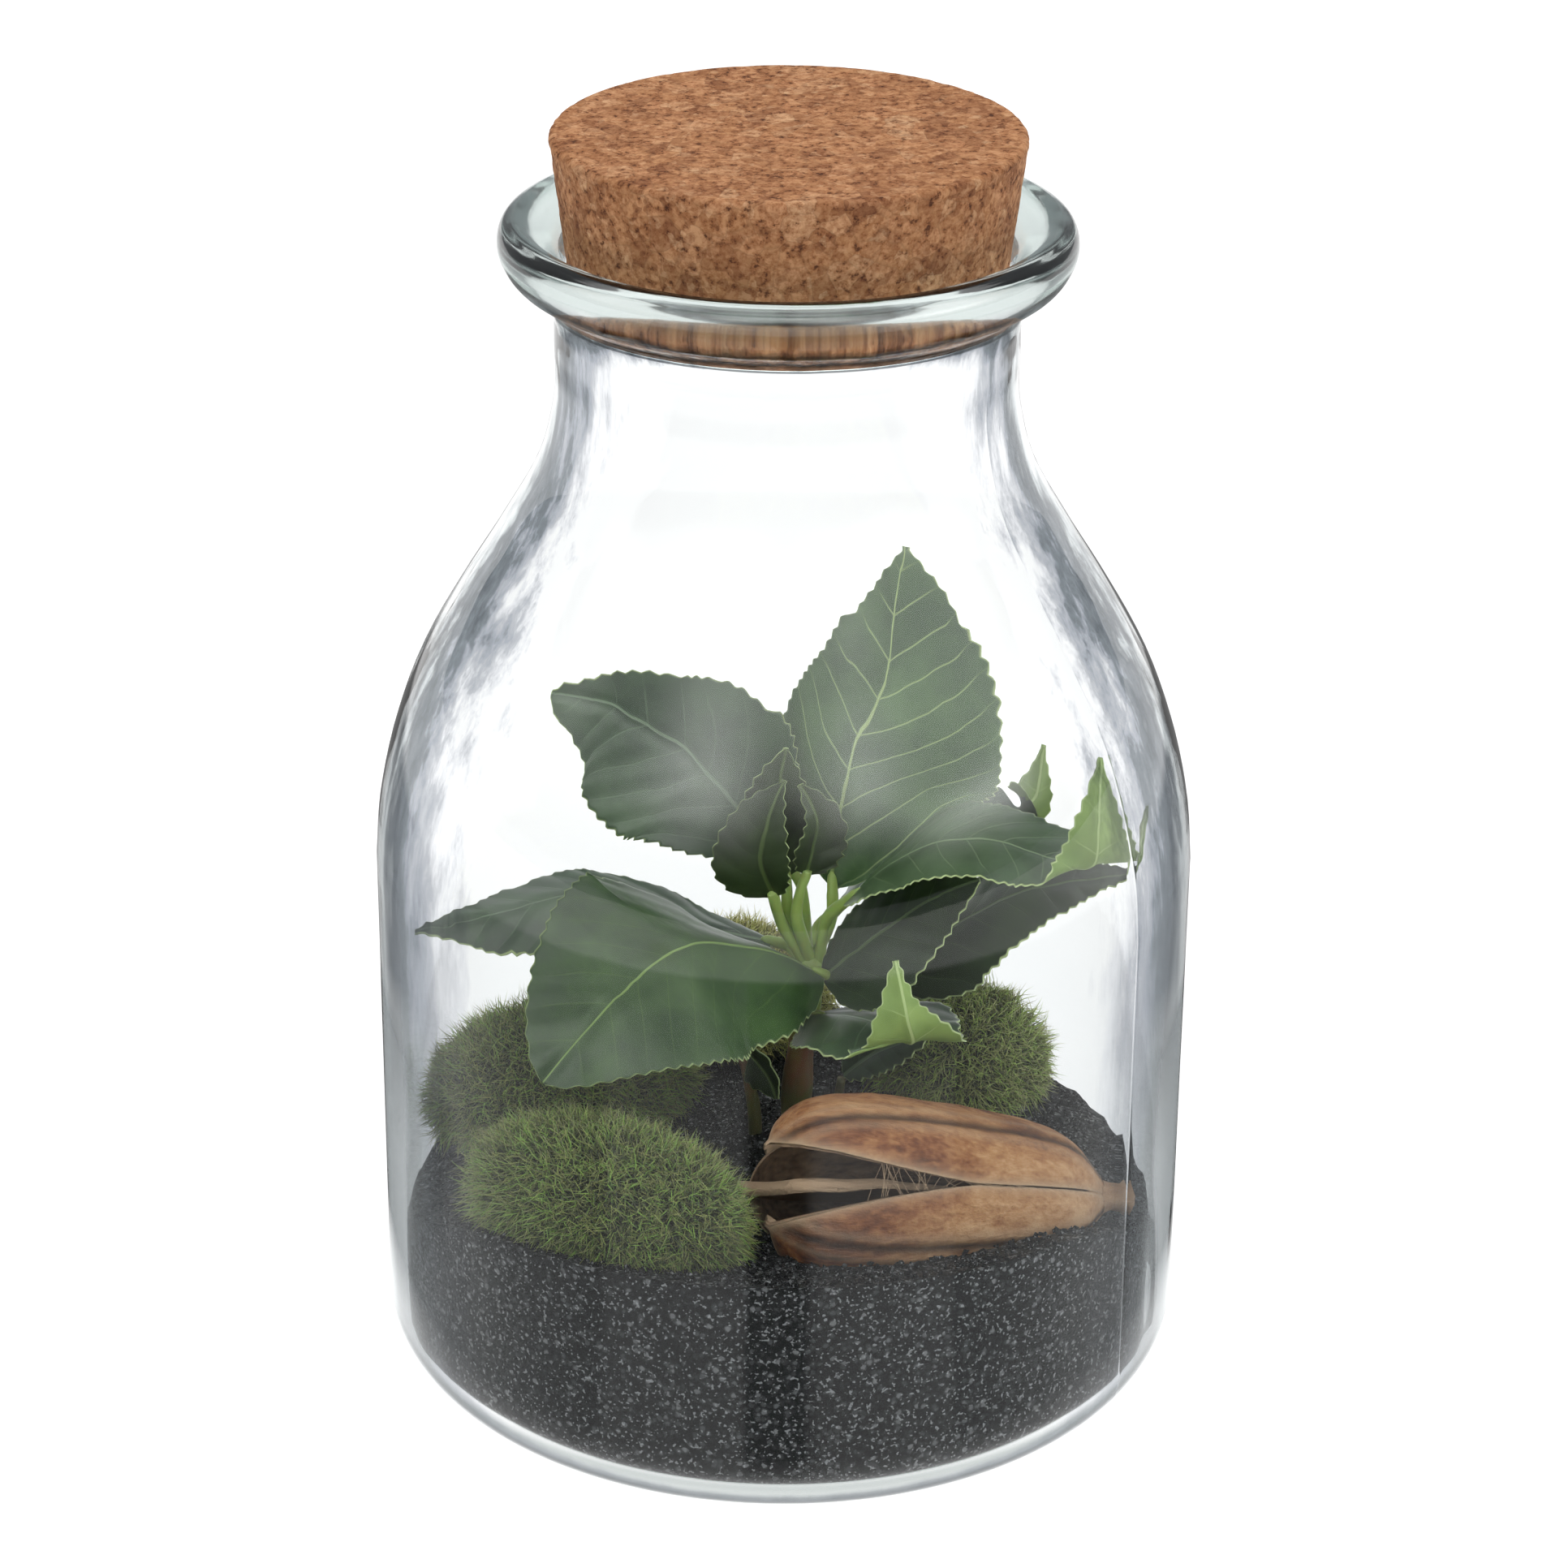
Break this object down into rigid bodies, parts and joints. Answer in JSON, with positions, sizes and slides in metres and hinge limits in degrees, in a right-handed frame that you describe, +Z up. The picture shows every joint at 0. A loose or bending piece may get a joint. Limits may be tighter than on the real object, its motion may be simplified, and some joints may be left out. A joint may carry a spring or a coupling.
{
  "type": "glass plant terrarium",
  "caption": "Corked clear glass jar with a flared rim, planted inside with a toothed-leaf plant in dark grit, moss-covered stones and a dried three-valved seed pod.",
  "frame": {"origin": "centre of the jar's flat underside, on the surface it stands on", "axes": "+Z up along the jar's axis, -Y towards the front, +X to the right as seen from the front"},
  "size_m": [0.14, 0.14, 0.2206],
  "materials": {
    "clear_glass": "clear soda-lime bottle glass with a faint green-blue cast, slightly wavy inside",
    "pressed_cork": "agglomerated cork granules, matt, sanded",
    "dark_grit": "near-black coarse sand with pale sparkling grains",
    "green_moss": "dense short moss fibres, olive to yellow-green tips",
    "dry_pod": "dry papery husk, tan with brown blotches and a dark groove on each valve",
    "green_stem": "smooth fresh green stem, olive to red-brown low down",
    "green_leaf": "satin dark green leaf with pale yellow-green veins and toothed margin, light green underside"
  },
  "bodies": {
    "root": {"glass_jar": "clear_glass", "cork_stopper": "pressed_cork", "sand_bed": "dark_grit", "moss_stone_front_left": "green_moss", "moss_stone_back_left": "green_moss", "moss_stone_back_right": "green_moss", "moss_stone_back_centre": "green_moss", "seed_pod": "dry_pod", "plant_stem": "green_stem", "side_shoot_left": "green_stem", "side_shoot_right": "green_stem", "leaf_tall_right": "green_leaf", "leaf_upper_left": "green_leaf", "leaf_young_front": "green_leaf", "leaf_young_right": "green_leaf", "leaf_young_back": "green_leaf", "leaf_right_arched": "green_leaf", "leaf_right_lower": "green_leaf", "leaf_right_back": "green_leaf", "leaf_left_front": "green_leaf", "leaf_left_back": "green_leaf", "leaf_front_curled": "green_leaf", "leaf_small_hanging": "green_leaf", "leaf_right_under": "green_leaf", "leaf_right_inner": "green_leaf"}
  },
  "joints": []
}
